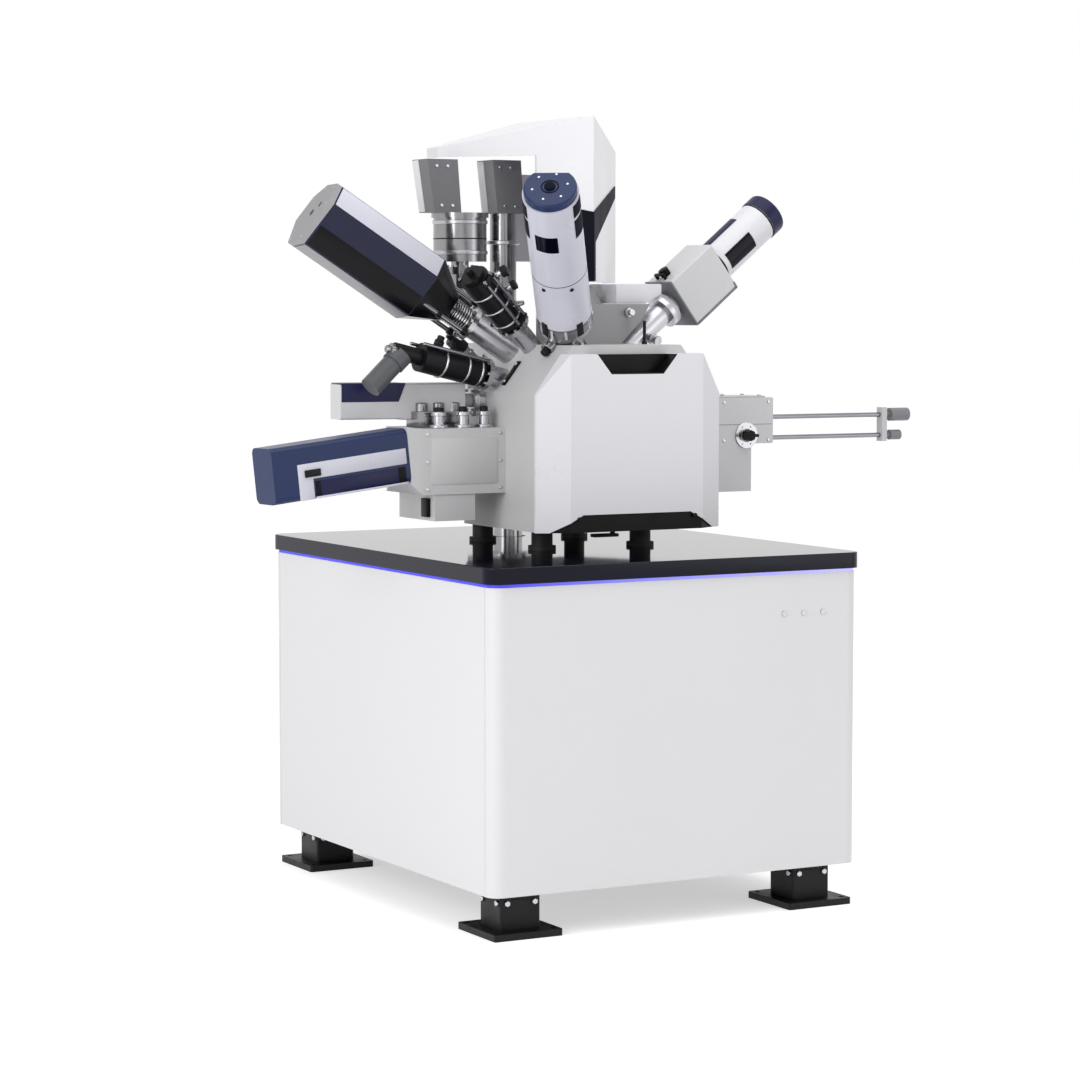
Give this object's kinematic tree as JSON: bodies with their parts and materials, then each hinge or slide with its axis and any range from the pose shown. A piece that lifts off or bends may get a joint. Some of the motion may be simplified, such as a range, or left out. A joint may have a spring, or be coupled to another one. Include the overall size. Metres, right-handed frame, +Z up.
{
  "type": "scanning electron microscope",
  "caption": "Dual-beam scanning electron microscope on a cabinet, with sliding stage door, retractable detectors and transfer rod.",
  "frame": {"origin": "on the floor, at the centre of the four feet", "axes": "+X to the right as seen from the front, +Y to the back, +Z up"},
  "size_m": [1.8758, 1.229, 1.909],
  "materials": {
    "foot_paint": "semi-matt black powder coat",
    "frame_steel": "dark grey powder coat",
    "cabinet_paint": "fine-textured white powder coat",
    "light_strip": "blue-violet diffuser",
    "table_slab": "gloss black top",
    "button_metal": "brushed",
    "rack_paint": "grey powder coat",
    "stainless": "turned stainless steel",
    "cast_aluminium": "bead-blasted",
    "machined_aluminium": "fine machined",
    "isolator_rubber": "matt black",
    "chamber_paint": "satin pale grey paint",
    "seal_rubber": "smooth black",
    "white_shell": "satin white paint",
    "black_trim": "black",
    "chromed_rod": "polished",
    "lens_paint": "satin grey paint",
    "navy_paint": "satin navy paint",
    "black_anodised": "black anodised",
    "magnet_paint": "mid-grey paint"
  },
  "bodies": {
    "base": {"feet": "foot_paint", "cabinet_frame": "frame_steel", "front_panel": "cabinet_paint", "left_panel": "cabinet_paint", "right_panel": "cabinet_paint", "rear_panel": "cabinet_paint", "light_strip": "light_strip", "table_slab": "table_slab", "rack_modules": "rack_paint", "pump_neck": "stainless", "turbo_housing": "cast_aluminium", "isolators": "isolator_rubber", "chamber_body": "chamber_paint", "objective_lens": "lens_paint", "column_barrel": "stainless", "electron_gun": "stainless", "column_cover": "white_shell", "cover_trim": "navy_paint", "port_flanges": "stainless", "ion_column": "stainless", "ion_cover": "white_shell", "ion_cap": "navy_paint", "getter_pump": "stainless", "getter_magnets": "magnet_paint", "left_port_box": "chamber_paint", "manipulator_box": "chamber_paint", "load_lock_box": "chamber_paint", "flange_bolts": "stainless"},
    "door": {"door_plate": "stainless", "door_seal": "seal_rubber", "door_cover": "white_shell", "door_grip": "black_trim", "door_skirt": "black_trim", "door_guide_rods": "chromed_rod", "stage_base": "machined_aluminium"},
    "stage_y": {"stage_y_slide": "machined_aluminium"},
    "stage_x": {"stage_x_slide": "machined_aluminium"},
    "stage_z": {"stage_z_lift": "machined_aluminium"},
    "stage_tilt": {"stage_tilt_cradle": "machined_aluminium"},
    "stage_turn": {"stage_turntable": "machined_aluminium", "specimen_stub": "machined_aluminium"},
    "spectrometer": {"eds_housing": "navy_paint", "eds_end_cap": "cast_aluminium", "eds_tube": "stainless"},
    "gas_needle": {"gas_injector": "black_anodised"},
    "side_probe": {"side_detector": "black_anodised", "side_detector_motor": "cast_aluminium"},
    "rear_probe": {"rear_detector": "navy_paint"},
    "camera": {"camera_detector": "navy_paint"},
    "manipulator": {"manipulator_body": "white_shell", "manipulator_cap": "navy_paint"},
    "transfer": {"transfer_rods": "chromed_rod", "end_bracket": "chamber_paint", "transfer_knobs": "black_trim"},
    "gate": {"gate_plate": "stainless"},
    "valve": {"valve_knob": "black_trim"},
    "rotor": {"turbo_rotor": "machined_aluminium"},
    "push_1": {"button_1": "button_metal"},
    "push_2": {"button_2": "button_metal"},
    "push_3": {"button_3": "button_metal"}
  },
  "joints": [
    {"name": "door_slide", "type": "slide", "parent": "base", "child": "door", "axis": [0, -1, 0], "range_m": [0, 0.34]},
    {"name": "stage_y_travel", "type": "slide", "parent": "door", "child": "stage_y", "axis": [0, 1, 0], "range_m": [-0.04, 0.04]},
    {"name": "stage_x_travel", "type": "slide", "parent": "stage_y", "child": "stage_x", "axis": [1, 0, 0], "range_m": [-0.05, 0.05]},
    {"name": "stage_z_travel", "type": "slide", "parent": "stage_x", "child": "stage_z", "axis": [0, 0, 1], "range_m": [-0.03, 0.0015]},
    {"name": "stage_tilt_turn", "type": "hinge", "parent": "stage_z", "child": "stage_tilt", "pos_m": [0, -0.09, 1.224], "axis": [0.8202, -0.5721, 0], "range_deg": [-10, 52]},
    {"name": "stage_rotation", "type": "hinge", "parent": "stage_tilt", "child": "stage_turn", "pos_m": [0, -0.09, 1.224], "axis": [0, 0, 1], "continuous": true},
    {"name": "spectrometer_slide", "type": "slide", "parent": "base", "child": "spectrometer", "axis": [-0.8336, 0.0729, 0.5476], "range_m": [0, 0.06]},
    {"name": "gas_needle_slide", "type": "slide", "parent": "base", "child": "gas_needle", "axis": [-0.7332, -0.2888, 0.6157], "range_m": [0, 0.025]},
    {"name": "side_probe_slide", "type": "slide", "parent": "base", "child": "side_probe", "axis": [-0.9707, -0.0849, 0.225], "range_m": [0, 0.04]},
    {"name": "rear_probe_slide", "type": "slide", "parent": "base", "child": "rear_probe", "axis": [-0.9925, 0.1219, 0], "range_m": [0, 0.06]},
    {"name": "camera_slide", "type": "slide", "parent": "base", "child": "camera", "axis": [-0.9903, -0.0866, -0.109], "range_m": [0, 0.08]},
    {"name": "manipulator_slide", "type": "slide", "parent": "base", "child": "manipulator", "axis": [0.7861, 0.055, 0.6157], "range_m": [0, 0.03]},
    {"name": "transfer_slide", "type": "slide", "parent": "base", "child": "transfer", "axis": [-1, 0, 0], "range_m": [0, 0.23]},
    {"name": "gate_slide", "type": "slide", "parent": "base", "child": "gate", "axis": [0, 0, -1], "range_m": [-0.1, 0]},
    {"name": "valve_turn", "type": "hinge", "parent": "base", "child": "valve", "pos_m": [0.466, -0.15, 1.122], "axis": [0, 1, 0], "range_deg": [0, 90]},
    {"name": "rotor_spin", "type": "hinge", "parent": "base", "child": "rotor", "pos_m": [0, 0.255, 0.65], "axis": [0, 0, 1], "continuous": true},
    {"name": "push_1_travel", "type": "slide", "parent": "base", "child": "push_1", "axis": [0, 1, 0], "range_m": [0, 0.0015], "stiffness_N_per_m": 600},
    {"name": "push_2_travel", "type": "slide", "parent": "base", "child": "push_2", "axis": [0, 1, 0], "range_m": [0, 0.0015], "stiffness_N_per_m": 600},
    {"name": "push_3_travel", "type": "slide", "parent": "base", "child": "push_3", "axis": [0, 1, 0], "range_m": [0, 0.0015], "stiffness_N_per_m": 600}
  ]
}
